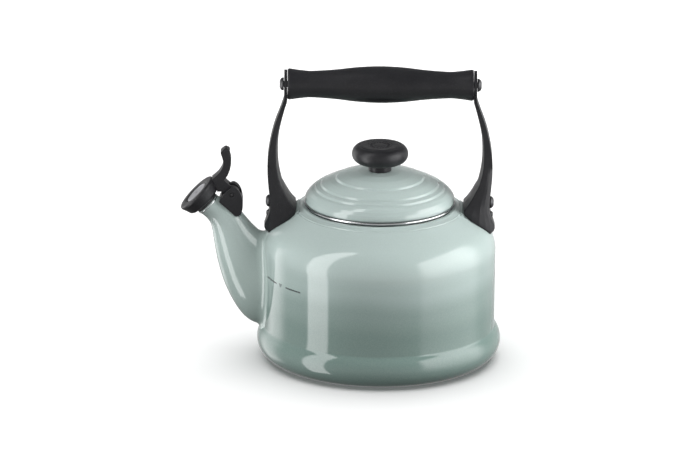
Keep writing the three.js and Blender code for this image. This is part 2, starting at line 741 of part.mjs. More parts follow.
const ends = [['spout_side', 0], ['rear_side', Math.PI]];
for (const [end, turn] of ends) {
  const side = new THREE.Group();
  side.rotation.z = turn;
  kettle.add(side);
  add(`${end}_lug`, lug(), enamel, side);
  add(`${end}_arm`, arm(), phenolic, side);
  add(`${end}_arm_screw`, armScrew(), blackSteel, side);
  add(`${end}_arm_pin`, armPin(), blackSteel, side);
  add(`${end}_grip_screw`, gripScrew(), blackSteel, side);
  add(`${end}_grip_insert`, gripInsert(), brass, side);
}
add('grip', grip(), phenolic);

add('lid_shell', lidShell(), enamel);
add('lid_rim', lidRim(), stainless);
add('lid_collar', lidCollar(), stainless);
add('knob', knob(), phenolic);
add('knob_neck', knobNeck(), phenolic);
add('knob_screw', knobScrew(), stainless);
add('knob_washer', knobWasher(), stainless);

add('whistle_cap', onMouth(whistleCap()), phenolic);
add('whistle_lever', whistleLever(), phenolic);
add('whistle_plate_outer', onMouth(whistlePlate(SHELF_TOP_H + GAP)), stainless);
add('whistle_plate_inner', onMouth(whistlePlate(SHELF_LOW_H - GAP - PLATE_SHEET)), stainless);
add('whistle_seal', onMouth(whistleSeal()), silicone);
add('whistle_bracket', whistleBracket(), phenolic);
add('hinge_pin', hingePin(), stainless);
add('hinge_spring', hingeSpring(), stainless);

export default kettle;
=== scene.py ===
"""Looks of a stovetop whistling kettle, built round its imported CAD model.

Shapes are worked out in millimetres and become metres when a mesh is made.
The kettle stands on z = 0 about the Z axis, and its spout points to -X.
"""

import math

import bmesh
import bpy
from mathutils import Matrix, Vector


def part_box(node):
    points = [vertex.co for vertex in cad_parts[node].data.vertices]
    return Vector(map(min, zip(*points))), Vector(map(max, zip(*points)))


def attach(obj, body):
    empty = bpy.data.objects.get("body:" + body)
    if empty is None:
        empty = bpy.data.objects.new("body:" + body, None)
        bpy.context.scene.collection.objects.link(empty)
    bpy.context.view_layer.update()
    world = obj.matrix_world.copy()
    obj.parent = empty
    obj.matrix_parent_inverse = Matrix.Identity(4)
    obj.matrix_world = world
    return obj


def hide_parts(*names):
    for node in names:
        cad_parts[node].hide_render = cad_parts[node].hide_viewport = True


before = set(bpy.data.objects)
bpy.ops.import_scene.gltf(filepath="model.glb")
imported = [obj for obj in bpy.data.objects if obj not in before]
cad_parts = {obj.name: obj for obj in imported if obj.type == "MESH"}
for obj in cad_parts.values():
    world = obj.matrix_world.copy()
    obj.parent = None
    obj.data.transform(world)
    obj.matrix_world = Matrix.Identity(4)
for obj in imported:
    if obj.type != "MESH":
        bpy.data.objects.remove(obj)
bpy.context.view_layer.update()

MM = 0.001
GAP = 0.3               # between neighbours, as in the CAD
SCREW_HOLE = 2.8        # radii of the holes through arms and lugs
PIN_HOLE = 1.9
HINGE_HOLE = 1.7


def span(node):
    """Lowest and highest corner of a CAD node, in millimetres."""
    low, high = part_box(node)
    return low / MM, high / MM


def middle(node):
    low, high = span(node)
    return (low + high) / 2


# ---- Places and sizes taken from the CAD frame ----

BODY_R, RIM_Z = span("body_shell")[1].yz
PAN_R, PAN_TOP = span("base_pan")[1].xz
LID_SEAT = span("lid_rim")[0].z
LID_RIM_R, LID_RIM_TOP = span("lid_rim")[1].xz
COLLAR_LOW, COLLAR_HIGH = span("lid_collar")
KNOB_LOW, KNOB_HIGH = span("knob")
NECK_LOW, NECK_HIGH = span("knob_neck")
GRIP_Z = middle("grip").z
GRIP_HALF = span("grip")[1].x
SCREW_Z = middle("spout_side_arm_screw").z
PIN_Z = middle("spout_side_arm_pin").z
PIVOT = middle("hinge_pin")
DISC = middle("whistle_plate_outer")
INNER_DISC = middle("whistle_plate_inner")
CAP_AXIS = (DISC - INNER_DISC).normalized()
ENDS = ("spout_side", "rear_side")


# ---- Curves and outlines ----


def arc(cx, cy, radius, start, stop, steps):
    """Points on a circle, angles in degrees."""
    angles = [math.radians(start + (stop - start) * i / steps) for i in range(steps + 1)]
    return [(cx + radius * math.cos(a), cy + radius * math.sin(a)) for a in angles]


def rounded(points, closed=False, samples=6):
    """Points are (x, y, radius). Each corner becomes a soft bend of about that radius."""
    result = []
    count = len(points)
    for i, (x, y, radius) in enumerate(points):
        here = Vector((x, y))
        is_end = not closed and i in (0, count - 1)
        if radius <= 0 or is_end:
            result.append((x, y))
            continue
        back = Vector(points[i - 1][:2]) - here
        ahead = Vector(points[(i + 1) % count][:2]) - here
        half = max(back.angle(ahead) / 2, 0.02)
        reach = min(radius / math.tan(half), 0.48 * back.length, 0.48 * ahead.length)
        start = here + back.normalized() * reach
        stop = here + ahead.normalized() * reach
        for k in range(samples + 1):
            t = k / samples
            point = start * (1 - t) ** 2 + here * 2 * t * (1 - t) + stop * t ** 2
            result.append((point.x, point.y))
    return result


def through(points, per):
    """A smooth curve through points of any number of coordinates."""
    rows = [tuple(p) for p in points]
    first = tuple(2 * a - b for a, b in zip(rows[0], rows[1]))
    last = tuple(2 * a - b for a, b in zip(rows[-1], rows[-2]))
    rows = [first, *rows, last]
    result = []
    for i in range(1, len(rows) - 2):
        for k in range(per):
            t = k / per
            weights = (
                -0.5 * t + t * t - 0.5 * t ** 3,
                1 - 2.5 * t * t + 1.5 * t ** 3,
                0.5 * t + 2 * t * t - 1.5 * t ** 3,
                -0.5 * t * t + 0.5 * t ** 3,
            )
            near = rows[i - 1:i + 3]
            result.append(tuple(sum(w * v for w, v in zip(weights, c)) for c in zip(*near)))
    result.append(rows[-2])
    return result


def between(table, value):
    """Straight-line reading of a table of (key, value) rows, keys rising."""
    if value <= table[0][0]:
        return table[0][1]
    for (k0, v0), (k1, v1) in zip(table, table[1:]):
        if value <= k1:
            return v0 + (v1 - v0) * (value - k0) / (k1 - k0)
    return table[-1][1]


# ---- Meshes ----


def make(name, corners, faces):
    mesh = bpy.data.meshes.new(name)
    mesh.from_pydata([Vector(c) * MM for c in corners], [], faces)
    piece = bpy.data.objects.new(name, mesh)
    bpy.context.scene.collection.objects.link(piece)
    tidy(piece)
    return piece


def tidy(piece):
    """Merges doubled corners and turns all faces outwards."""
    work = bmesh.new()
    work.from_mesh(piece.data)
    bmesh.ops.remove_doubles(work, verts=work.verts, dist=1e-6)
    bmesh.ops.dissolve_degenerate(work, edges=work.edges, dist=1e-7)
    bmesh.ops.recalc_face_normals(work, faces=work.faces)
    work.to_mesh(piece.data)
    work.free()


def skin(name, rings, closed=False):
    """A skin over rings of equal length. A closed one joins its last ring to its first."""
    corners = [point for ring in rings for point in ring]
    return make(name, corners, ring_faces(len(rings[0]), len(rings), closed))


def ring_faces(count, total, closed=False):
    faces = []
    for row in range(total if closed else total - 1):
        below = row * count
        above = (row + 1) % total * count
        for i in range(count):
            j = (i + 1) % count
            faces.append((below + i, below + j, above + j, above + i))
    if not closed:
        faces += [tuple(range(count)), tuple(range((total - 1) * count, total * count))]
    return faces


def turn(name, profile, steps=128, relief=None):
    """Turns (radius, height) points about Z. A profile that starts off the axis closes on itself.

    Relief moves a point by (radius, height).
    """
    corners = []
    rows = []
    for radius, height in profile:
        first = len(corners)
        if radius < 1e-6:
            corners.append((0, 0, height))
            rows.append([first] * steps)
            continue
        for i in range(steps):
            angle = 2 * math.pi * i / steps
            out, up = relief(angle, radius, height) if relief else (0, 0)
            corners.append((
                (radius + out) * math.cos(angle), (radius + out) * math.sin(angle), height + up,
            ))
        rows.append(list(range(first, first + steps)))
    faces = []
    pairs = list(zip(rows, rows[1:]))
    if profile[0][0] > 0:
        pairs.append((rows[-1], rows[0]))
    for low, high in pairs:
        for i in range(steps):
            j = (i + 1) % steps
            face = list(dict.fromkeys((low[i], low[j], high[j], high[i])))
            if len(face) > 2:
                faces.append(tuple(face))
    return make(name, corners, faces)


def slab(name, outline, half):
    """An outline in the XZ plane, thickened evenly about y = 0."""
    return skin(name, [[(x, y, z) for x, z in outline] for y in (-half, half)])


def rod(radius, start, stop, z):
    """A round tool along X at a height."""
    piece = turn("tool", [(0, start), (radius, start), (radius, stop), (0, stop)], 48)
    return move(piece, at(0, z) @ Matrix.Rotation(math.pi / 2, 4, "Y"))


def on_pivot(radius, half, steps=48):
    """A round tool along Y about the whistle's hinge."""
    piece = turn("tool", [(0, -half), (radius, -half), (radius, half), (0, half)], steps)
    return move(piece, at(PIVOT.x, PIVOT.z) @ Matrix.Rotation(-math.pi / 2, 4, "X"))


def at(x, z):
    return Matrix.Translation(Vector((x, 0, z)) * MM)


def move(piece, matrix):
    piece.data.transform(matrix)
    piece.data.update()
    return piece


def modify(piece, kind, **values):
    """Adds a modifier with these values and applies it."""
    modifier = piece.modifiers.new("step", kind)
    for key, value in values.items():
        setattr(modifier, key, value)
    graph = bpy.context.evaluated_depsgraph_get()
    mesh = bpy.data.meshes.new_from_object(piece.evaluated_get(graph))
    piece.modifiers.clear()
    old = piece.data
    piece.data = mesh
    bpy.data.meshes.remove(old)
    return piece


def combine(piece, tools, operation="DIFFERENCE"):
    """Cuts tools away from a piece, or joins them to it, and removes the tools."""
    for tool in tools:
        modify(piece, "BOOLEAN", operation=operation, solver="EXACT", object=tool)
        mesh = tool.data
        bpy.data.objects.remove(tool)
        bpy.data.meshes.remove(mesh)
    tidy(piece)
    return piece


def soften(piece, width, segments=3):
    """Rounds the sharp edges of a piece."""
    return modify(piece, "BEVEL", width=width * MM, segments=segments, limit_method="ANGLE",
                  angle_limit=math.radians(32))


def smooth(piece, angle):
    """Smooth faces, with the edges sharper than an angle kept crisp."""
    work = bmesh.new()
    work.from_mesh(piece.data)
    limit = math.radians(angle)
    for face in work.faces:
        face.smooth = True
    for edge in work.edges:
        edge.smooth = len(edge.link_faces) == 2 and edge.calc_face_angle(0) < limit
    work.to_mesh(piece.data)
    work.free()


def finish(piece, body, look, nodes, name=None, angle=38):
    if name:
        piece.name = name
        piece.data.name = name
    smooth(piece, angle)
    piece.data.materials.clear()
    piece.data.materials.append(LOOKS[look])
    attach(piece, body)
    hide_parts(*nodes)
    return piece


# ---- Materials ----


# Enamel tones by height, from the foot (0) to the top (1). The darker, greener foot is partly the
# enamel's own hue and partly painted shade for light falling off down the wall. The last stop is a
# little darker as painted shade over the lid and upper shoulder.
ENAMEL_TONE_AND_SHADE = [
    (0.0, (0.098, 0.142, 0.128)), (0.22, (0.104, 0.150, 0.135)), (0.42, (0.140, 0.188, 0.174)),
    (0.60, (0.214, 0.268, 0.254)), (0.78, (0.260, 0.313, 0.300)), (1.0, (0.250, 0.298, 0.287)),
]
# The spout's tones, also darker downwards: partly its own hue, partly painted shade.
SPOUT_TONE_AND_SHADE = [
    (0.0, (0.200, 0.253, 0.236)), (0.5, (0.232, 0.285, 0.269)), (1.0, (0.268, 0.320, 0.307)),
]


class Look:
    """One procedural material, with its noise read from the object's own coordinates."""

    def __init__(self, name, **values):
        self.material = bpy.data.materials.new(name)
        self.material.use_nodes = True
        self.nodes = self.material.node_tree.nodes
        self.links = self.material.node_tree.links
        self.shader = self.nodes["Principled BSDF"]
        self.place = self.nodes.new("ShaderNodeTexCoord").outputs["Object"]
        for key, value in values.items():
            self.shader.inputs[key.replace("_", " ")].default_value = value

    def noise(self, scale, detail=3, stretch=None, rough=0.5):
        source = self.place
        if stretch:
            mapping = self.nodes.new("ShaderNodeMapping")
            mapping.inputs["Scale"].default_value = stretch
            self.links.new(source, mapping.inputs["Vector"])
            source = mapping.outputs["Vector"]
        node = self.nodes.new("ShaderNodeTexNoise")
        node.inputs["Scale"].default_value = scale
        node.inputs["Detail"].default_value = detail
        node.inputs["Roughness"].default_value = rough
        self.links.new(source, node.inputs["Vector"])
        return node.outputs["Fac"]

    def specks(self, scale, size, amount):
        node = self.nodes.new("ShaderNodeTexVoronoi")
        node.inputs["Scale"].default_value = scale
        self.links.new(self.place, node.inputs["Vector"])
        return self.ranged(node.outputs["Distance"], 0, size, amount, 0)

    def ranged(self, source, low, high, to_low, to_high):
        node = self.nodes.new("ShaderNodeMapRange")
        for key, value in zip(("From Min", "From Max", "To Min", "To Max"),
                              (low, high, to_low, to_high)):
            node.inputs[key].default_value = value
        self.links.new(source, node.inputs["Value"])
        return node.outputs["Result"]

    def blend(self, amount, first, second):
        """Colour between two, each a colour or another blend's output."""
        node = self.nodes.new("ShaderNodeMix")
        node.data_type = "RGBA"
        self.links.new(amount, node.inputs["Factor"])
        for key, colour in ((6, first), (7, second)):
            if isinstance(colour, tuple):
                node.inputs[key].default_value = (*colour, 1)
            else:
                self.links.new(colour, node.inputs[key])
        return node.outputs[2]

    def colour(self, source):
        self.links.new(source, self.shader.inputs["Base Color"])

    def roughness(self, source, low, high):
        self.links.new(self.ranged(source, 0.3, 0.7, low, high), self.shader.inputs["Roughness"])

    def bump(self, *layers):
        """Layers are (height source, distance in mm), laid over each other."""
        normal = None
        for source, distance in layers:
            node = self.nodes.new("ShaderNodeBump")
            node.inputs["Strength"].default_value = 1
            node.inputs["Distance"].default_value = distance * MM
            self.links.new(source, node.inputs["Height"])
            if normal:
                self.links.new(normal, node.inputs["Normal"])
            normal = node.outputs["Normal"]
        self.links.new(normal, self.shader.inputs["Normal"])


def set_stops(ramp, stops):
    """Stops are (place, colour), from 0 to 1."""
    for element, (place, tone) in zip(ramp.elements, (stops[0], stops[-1])):
        element.position = place
        element.color = (*tone, 1)
    for place, tone in stops[1:-1]:
        ramp.elements.new(place).color = (*tone, 1)


def enamel(name, stops):
    """Glossy enamel, darker and greener towards the foot, with a faint cloud and specks. The darkening
    is partly the enamel's own shift in hue and partly painted shade for the light falling off down the
    wall.
    """
    look = Look(name, IOR=1.5)
    split = look.nodes.new("ShaderNodeSeparateXYZ")
    look.links.new(look.place, split.inputs["Vector"])
    cloud = look.ranged(look.noise(14, 2), 0.3, 0.7, -0.03, 0.03)
    add = look.nodes.new("ShaderNodeMath")
    look.links.new(look.ranged(split.outputs["Z"], 0.020, 0.120, 0, 1), add.inputs[0])
    look.links.new(cloud, add.inputs[1])
    # Height picks the tone: the enamel's own hue shift plus painted shade towards the foot.
    tone_and_shade = look.nodes.new("ShaderNodeValToRGB")
    look.links.new(add.outputs["Value"], tone_and_shade.inputs["Fac"])
    tone_and_shade.color_ramp.interpolation = "EASE"
    set_stops(tone_and_shade.color_ramp, stops)
    fine = look.ranged(look.noise(1100, 2), 0.35, 0.65, 0, 0.03)
    base = look.blend(fine, tone_and_shade.outputs["Color"], (0.62, 0.70, 0.67))
    look.colour(look.blend(look.specks(260, 0.05, 0.22), base, (0.10, 0.15, 0.135)))
    look.roughness(look.noise(35, 3), 0.07, 0.11)
    look.bump((look.noise(26, 1), 0.04), (look.noise(700, 1), 0.0006))
    return look.material


def phenolic():
    look = Look("phenolic", IOR=1.42, Specular_IOR_Level=0.42)
    tone = look.ranged(look.noise(45, 4), 0.3, 0.7, 0, 1)
    base = look.blend(tone, (0.0085, 0.0085, 0.0097), (0.0122, 0.0122, 0.0136))
    grain = look.noise(1500, 3, rough=0.6)
    dust = look.ranged(grain, 0.56, 0.72, 0, 0.5)
    look.colour(look.blend(dust, base, (0.040, 0.040, 0.043)))
    look.roughness(look.noise(240, 4), 0.33, 0.45)
    look.bump((look.noise(60, 2), 0.03), (grain, 0.02))
    return look.material


def brushed(name, colour, low, high, stretch, **values):
    look = Look(name, Metallic=1, **values)
    lines = look.noise(1, 4, stretch)
    tone = look.ranged(lines, 0.3, 0.7, 0, 1)
    dull = tuple(c * 0.82 for c in colour)
    look.colour(look.blend(tone, dull, colour))
    look.roughness(look.noise(1, 3, tuple(s * 0.7 for s in stretch)), low, high)
    look.bump((lines, 0.004))
    return look.material


def mottled(name, tones, tone_grain, gloss_grain, gloss, relief=None, **values):
    """Two close tones. A grain is (scale, detail), and relief adds a depth in millimetres."""
    look = Look(name, **values)
    tone = look.ranged(look.noise(*tone_grain), 0.35, 0.65, 0, 1)
    look.colour(look.blend(tone, *tones))
    look.roughness(look.noise(*gloss_grain), *gloss)
    if relief:
        look.bump((look.noise(*relief[:2]), relief[2]))
    return look.material


LOOKS = {
    "enamel": enamel("enamel", ENAMEL_TONE_AND_SHADE),
    "spout_enamel": enamel("enamel_spout", SPOUT_TONE_AND_SHADE),
    "phenolic": phenolic(),
    "steel": brushed("stainless", (0.72, 0.725, 0.735), 0.14, 0.27, (30, 30, 900)),
    "disc": brushed("whistle_disc", (0.60, 0.60, 0.63), 0.34, 0.5, (900, 60, 900)),
    "pan": brushed("base_steel", (0.42, 0.42, 0.43), 0.28, 0.44, (500, 500, 60)),
    "dark_steel": mottled("black_steel", ((0.016, 0.016, 0.018), (0.034, 0.034, 0.037)), (300, 4),
                          (500, 3), (0.26, 0.4), (900, 2, 0.006), Metallic=0.35, IOR=1.6),
    "brass": brushed("brass", (0.55, 0.38, 0.16), 0.25, 0.4, (60, 900, 900)),
    "rubber": mottled("silicone", ((0.02, 0.02, 0.021), (0.034, 0.034, 0.036)), (160, 3),
                      (400, 3), (0.62, 0.8), (1200, 2, 0.008), IOR=1.42),
    "ink": mottled("fill_mark_ink", ((0.022, 0.030, 0.029), (0.040, 0.052, 0.050)), (1200, 3),
                   (800, 2), (0.25, 0.38), IOR=1.5),
}


# ---- Body ----

BEAD_Z = 15.9
WALL_LOW_R = 92.6
WALL_TOP_R = 93.1
BEND = (65.1, 89.87, 28.0)       # centre radius, centre height and radius of the shoulder's turn
SHOULDER_END = (66.4, 124.16)
MOUTH_R = 58.4
LIP_Z = 119.0
SHEET = 1.6


def body_outline(offset=0.0):
    """Outside of the body from the bottom of the foot bead to the end of the shoulder."""
    low = arc(BODY_R - 15.6, BEAD_Z, 15.6 + offset, -90, 0, 18)
    high = arc(BODY_R - 16, BEAD_Z, 16 + offset, 0, 42, 10)[1:]
    foot = rounded([
        (*high[-1], 0), (WALL_LOW_R + 0.12 + offset, 27.7, 2.2), (WALL_LOW_R + offset, 33, 0),
    ], samples=5)[1:]
    wall = []
    for i in range(1, 12):
        t = i / 12
        wall.append((WALL_LOW_R + (WALL_TOP_R - WALL_LOW_R) * t + offset, 33 + (BEND[1] - 33) * t))
    bend = arc(BEND[0], BEND[1], BEND[2] + offset, 0, 52.5, 22)
    lean = math.radians(37.5)
    end = (SHOULDER_END[0] + offset * math.sin(lean), SHOULDER_END[1] + offset * math.cos(lean))
    cone = []
    for i in range(1, 6):
        t = i / 6
        cone.append(tuple(a + (b - a) * t for a, b in zip(bend[-1], end)))
    return [*low, *high, *foot, *wall, *bend, *cone, end]


OUTLINE = body_outline()
RADIUS_BY_HEIGHT = sorted((z, r) for r, z in OUTLINE)
HEIGHT_BY_RADIUS = sorted((r, z) for r, z in OUTLINE if z >= BEND[1])


def shoulder_height(x, y):
    return between(HEIGHT_BY_RADIUS, min(math.hypot(x, y), WALL_TOP_R - 0.02))


def body_radius(z):
    return between(RADIUS_BY_HEIGHT, z)


def body_normal(point):
    """Outward direction of the body's surface near a point."""
    step = 0.5
    slope = (body_radius(point.z + step) - body_radius(point.z - step)) / (2 * step)
    flat = Vector((point.x, point.y, 0)).normalized()
    return (flat - Vector((0, 0, slope))).normalized()


def onto_body(point, sink):
    """The nearest point that lies on the body's surface, sunk by a small depth."""
    place = Vector(point)
    for _ in range(6):
        away = math.hypot(place.x, place.y) - body_radius(place.z)
        normal = body_normal(place)
        flat = Vector((place.x, place.y, 0)).normalized()
        place -= normal * (away * normal.dot(flat))
    return place - body_normal(place) * sink


def build_body():
    rim = rounded([
        (*OUTLINE[-1], 0), (65.9, 124.2, 0.5), (62.8, 125.45, 0.8), (61.7, 126.2, 0.6),
        (59.2, RIM_Z, 0.7), (MOUTH_R, 125.3, 0.7), (MOUTH_R, LIP_Z, 0.3),
        (MOUTH_R + SHEET, LIP_Z, 0.3), (MOUTH_R + SHEET, RIM_Z - 2.3, 1.2),
        (62.4, RIM_Z - 2.5, 0.8), (*body_outline(-SHEET)[-1], 0),
    ], samples=5)
    groove = [(67.5, 123.31), (67.1, 123.3), (66.7, 123.62)]
    inside = body_outline(-SHEET)[::-1]
    outer = [p for p in OUTLINE if p[0] > 67.6 or p[1] < 100]
    pot = turn("pot", [*outer, *groove, *rim, *inside[1:]], 192)
    combine(pot, [spout_solid("tool", -SPOUT_SHEET)])
    finish(pot, "kettle", "enamel", ["body_shell"])


def build_pan():
    profile = rounded([
        (0, 0, 0), (PAN_R, 0, 0.8), (PAN_R, PAN_TOP, 0.6), (PAN_R - 1.4, PAN_TOP, 0.4),
        (PAN_R - 1.9, 1.8, 1.0), (0, 1.8, 0),
    ])
    # Two shallow rings are pressed up into the underside.
    profile[1:1] = [(38, 0), (38.6, 0.3), (40.2, 0.3), (40.8, 0), (58, 0), (58.6, 0.3),
                    (60.2, 0.3), (60.8, 0)]
    finish(turn("pot_base", profile, 160), "kettle", "pan", ["base_pan"])


# ---- Fill mark ----


def wall_patch(azimuth, width, low, high):
    """Rings of a thin patch on the wall: azimuth and width in degrees, heights in millimetres."""
    steps = max(2, int(width / 0.6))
    rings = []
    for i in range(steps + 1):
        angle = math.radians(azimuth - width / 2 + width * i / steps)
        ring = []
        for out, height in ((-0.05, low), (0.1, low), (0.1, high), (-0.05, high)):
            radius = body_radius(height) + out
            ring.append((radius * math.cos(angle), radius * math.sin(angle), height))
        rings.append(ring)
    return rings


def build_fill_mark():
    """Two dashes, with a small triangle of three bars between them."""
    height = 73.5
    patches = [(-157.4, 10.9, height - 0.6, height + 0.6), (-137.9, 10.8, height - 0.6, height + 0.6)]
    for i in range(3):
        wide = 2.6 - 0.7 * i
        low = height + 0.9 - 1.0 * i
        patches.append((-147.9, wide, low - 0.28, low + 0.28))
    corners = []
    faces = []
    for patch in patches:
        rings = wall_patch(*patch)
        first = len(corners)
        faces += [tuple(first + i for i in face) for face in ring_faces(4, len(rings))]
        corners += [point for ring in rings for point in ring]
    finish(make("fill_mark", corners, faces), "kettle", "ink", [], angle=60)


# ---- Spout ----

# Stations from the mouth to the body: lower edge x and z, upper edge x and z, half width in y.
SPOUT_STATIONS = [
    (-144.4, 119.3, -130.6, 133.1, 10.0),
    (-139.2, 115.4, -125.0, 129.8, 9.8),
    (-135.2, 110.0, -119.0, 125.8, 10.4),
    (-133.3, 101.8, -111.4, 120.3, 12.2),
    (-131.6, 90.6, -105.8, 114.0, 14.4),
    (-128.5, 75.6, -101.4, 108.8, 16.6),
    (-122.4, 56.8, -97.4, 105.0, 18.6),
    (-111.6, 37.2, -94.4, 102.6, 20.0),
    (-100.0, 27.4, -91.6, 101.2, 20.6),
    (-84.0, 25.0, -84.0, 100.2, 20.8),
]
SPOUT_SIDES = 96
SPOUT_SHEET = 1.4
FILLET = 7.0


def spout_ring(station, offset, count=SPOUT_SIDES):
    low_x, low_z, high_x, high_z, half = station
    centre = Vector(((low_x + high_x) / 2, 0, (low_z + high_z) / 2))
    up = Vector(((high_x - low_x) / 2, 0, (high_z - low_z) / 2))
    rise = up.length + offset
    up.normalize()
    points = []
    for i in range(count):
        angle = 2 * math.pi * i / count
        side = Vector((0, (half + offset) * math.sin(angle), 0))
        points.append(centre + up * (rise * math.cos(angle)) + side)
    return points


def spout_solid(name, offset):
    """The spout's form as a closed block. A bore runs out past both ends."""
    rings = [spout_ring(s, offset, 72) for s in through(SPOUT_STATIONS, 5)]
    if offset < 0:
        beyond = (rings[0][0] - rings[6][0]).normalized() * 4
        rings.insert(0, [p + beyond for p in rings[0]])
    return skin(name, rings)


def is_inside(point):
    return math.hypot(point.x, point.y) < body_radius(point.z)


def generator(index, rings):
    """One line along the spout, bent at its end to lie on the body's surface."""
    line = [ring[index] for ring in rings]
    last = next(i for i, p in enumerate(line) if is_inside(p))
    low, high = line[last - 1], line[last]
    for _ in range(14):
        half = (low + high) / 2
        if is_inside(half):
            high = half
        else:
            low = half
    root = (low + high) / 2
    centre = sum(rings[last], Vector()) / len(rings[last])
    along = (line[last] - line[last - 1]).normalized()
    normal = body_normal(root)
    out = root - centre
    out -= along * out.dot(along)
    away = (out - normal * out.dot(normal)).normalized()
    start = min(line[:last], key=lambda p: abs((p - root).length - FILLET))
    outer = line[:line.index(start) + 1]
    stop = onto_body(root + away * FILLET, 0.04)
    bend = []
    for k in range(1, 11):
        t = k / 10
        bend.append(start * (1 - t) ** 2 + root * 2 * t * (1 - t) + stop * t ** 2)
    return outer, bend, normal


def resample(points, count):
    """Points spaced evenly along a line."""
    lengths = [0.0]
    for a, b in zip(points, points[1:]):
        lengths.append(lengths[-1] + (b - a).length)
    result = []
    k = 0
    for i in range(count):
        goal = lengths[-1] * i / (count - 1)
        while k < len(points) - 2 and lengths[k + 1] < goal:
            k += 1
        part = (goal - lengths[k]) / max(lengths[k + 1] - lengths[k], 1e-9)
        result.append(points[k].lerp(points[k + 1], min(max(part, 0), 1)))
    return result


def build_spout():
    stations = through(SPOUT_STATIONS, 9)
    rings = [spout_ring(s, 0) for s in stations]
    bores = [spout_ring(s, -SPOUT_SHEET) for s in stations]
    columns = []
    for i in range(SPOUT_SIDES):
        outer, bend, normal = generator(i, rings)
        column = resample(outer, 44) + bend
        column.append(bend[-1] - normal * 1.0)
        line = [ring[i] for ring in bores]
        last = next(k for k, p in enumerate(line) if is_inside(p))
        column += resample(line[:last + 1], 30)[::-1]
        # The lip is rolled round the middle of the sheet.
        out = (rings[0][i] - bores[0][i]).normalized()
        centre = (rings[0][i] + bores[0][i]) / 2 - CAP_AXIS * 0.35
        for angle in (200, 160, 120, 80, 40, 0, -40, -75):
            turned = math.radians(angle)
            column.append(centre + out * (0.95 * math.cos(turned)) + CAP_AXIS * (0.9 * math.sin(turned)))
        columns.append(column)
    loops = [[column[row] for column in columns] for row in range(len(columns[0]))]
    spout = skin("pouring_spout", loops, closed=True)
    finish(spout, "kettle", "spout_enamel", ["spout"], angle=60)


# ---- Handle ----

# Sections of the arm at the -X end: outer x and z, inner x and z, corner radius of the outer
# and of the inner edges, and how far the inner face bulges.
ARM_SECTIONS = [
    (-76.9, 219.6, -74.5, 219.6, 0.6, 0.6, 0.0),
    (-76.9, 215.4, -74.5, 213.4, 0.7, 0.6, 0.2),
    (-79.8, 206.4, -76.7, 206.0, 0.9, 0.7, 0.6),
    (-84.2, 194.0, -79.6, 196.0, 1.1, 0.9, 1.2),
    (-87.6, 180.0, -82.2, 184.0, 1.3, 1.0, 1.8),
    (-89.6, 166.0, -83.0, 171.0, 1.5, 1.0, 2.0),
    (-89.8, 154.0, -82.3, 159.0, 1.8, 1.0, 2.0),
    (-88.8, 141.0, -79.5, 147.0, 2.4, 1.1, 1.6),
    (-87.9, 133.0, -76.4, 140.6, 3.0, 1.2, 1.2),
    (-87.9, 124.0, -72.6, 133.6, 3.4, 1.2, 1.0),
    (-90.0, 116.4, -69.6, 129.2, 3.4, 1.2, 0.9),
    (-92.2, 110.4, -67.2, 126.4, 3.2, 1.2, 0.7),
]
ARM_WIDTHS = [
    (100, 18.8), (123, 18.4), (130, 15.8), (136, 14.5), (142, 13.6), (151, 12.7), (160, 11.8),
    (170, 10.6), (180, 9.4), (188.5, 8.2), (197, 7.2), (202.5, 6.6), (208, 6.4), (214, 7.2),
    (218.8, 8.9),
]
FOOT_PLAN = [
    (-91.9, 4.6), (-91.0, 7.0), (-89.6, 9.5), (-86, 13.2), (-81, 16.2), (-74, 18.4), (-60, 19.4),
]
PLATE_R = 11.6
PLATE_OUT = GRIP_HALF + GAP + 2.4
SECTION_SAMPLES = 5


def both_sides(corners):
    """A closed outline from its half at y >= 0."""
    return corners + [(u, -w, r) for u, w, r in corners[-2:0:-1]]


def arm_half(x, z):
    """Half width of the arm at a place, from its front outline and its plan."""
    front = between(ARM_WIDTHS, z)
    plan = between(FOOT_PLAN, x)
    if z > 160:
        return front
    blend = 1.2
    low, high = min(front, plan), max(front, plan)
    return low - blend * math.exp(-(high - low) / blend) * 0.5


def arm_ring(section):
    """One closed section: outer face, side, inner face, side."""
    outer = Vector(section[0:2])
    inner = Vector(section[2:4])
    edge, crisp, bulge = section[4:7]
    across = (inner - outer).normalized()
    depth = (inner - outer).length

    def half(t):
        point = outer.lerp(inner, t)
        return arm_half(point.x, point.y)

    side = [(t, half(t)) for t in (0.0, 0.14, 0.3, 0.5, 0.75, 1.0)]
    corners = [(0.0, 0.0, 0.0)]
    corners += [(side[0][0] * depth, side[0][1], edge)]
    corners += [(t * depth, w, 1.5) for t, w in side[1:-1]]
    corners += [(depth, side[-1][1], crisp), (depth + bulge, 0.0, side[-1][1] * 0.9)]
    flat = rounded([(u, w, max(r, 0.01)) for u, w, r in both_sides(corners)], True, SECTION_SAMPLES)
    points = [(outer + across * u, w) for u, w in flat]
    return [Vector((p.x, w, p.y)) for p, w in points]


def plate_ring(degrees):
    angle = math.radians(degrees)
    z = GRIP_Z + PLATE_R * math.sin(angle)
    half = max(PLATE_R * math.cos(angle), 0.25)
    edge = max(min(0.55, half * 0.6), 0.01)
    side = [(u, half, edge) for u in (0.0, 0.34, 0.8, 1.2, 1.8, 2.4)]
    flat = rounded(both_sides([(0.0, 0.0, edge), *side, (2.4, 0.0, edge)]), True, SECTION_SAMPLES)
    return [Vector((-PLATE_OUT + u, w, z)) for u, w in flat]


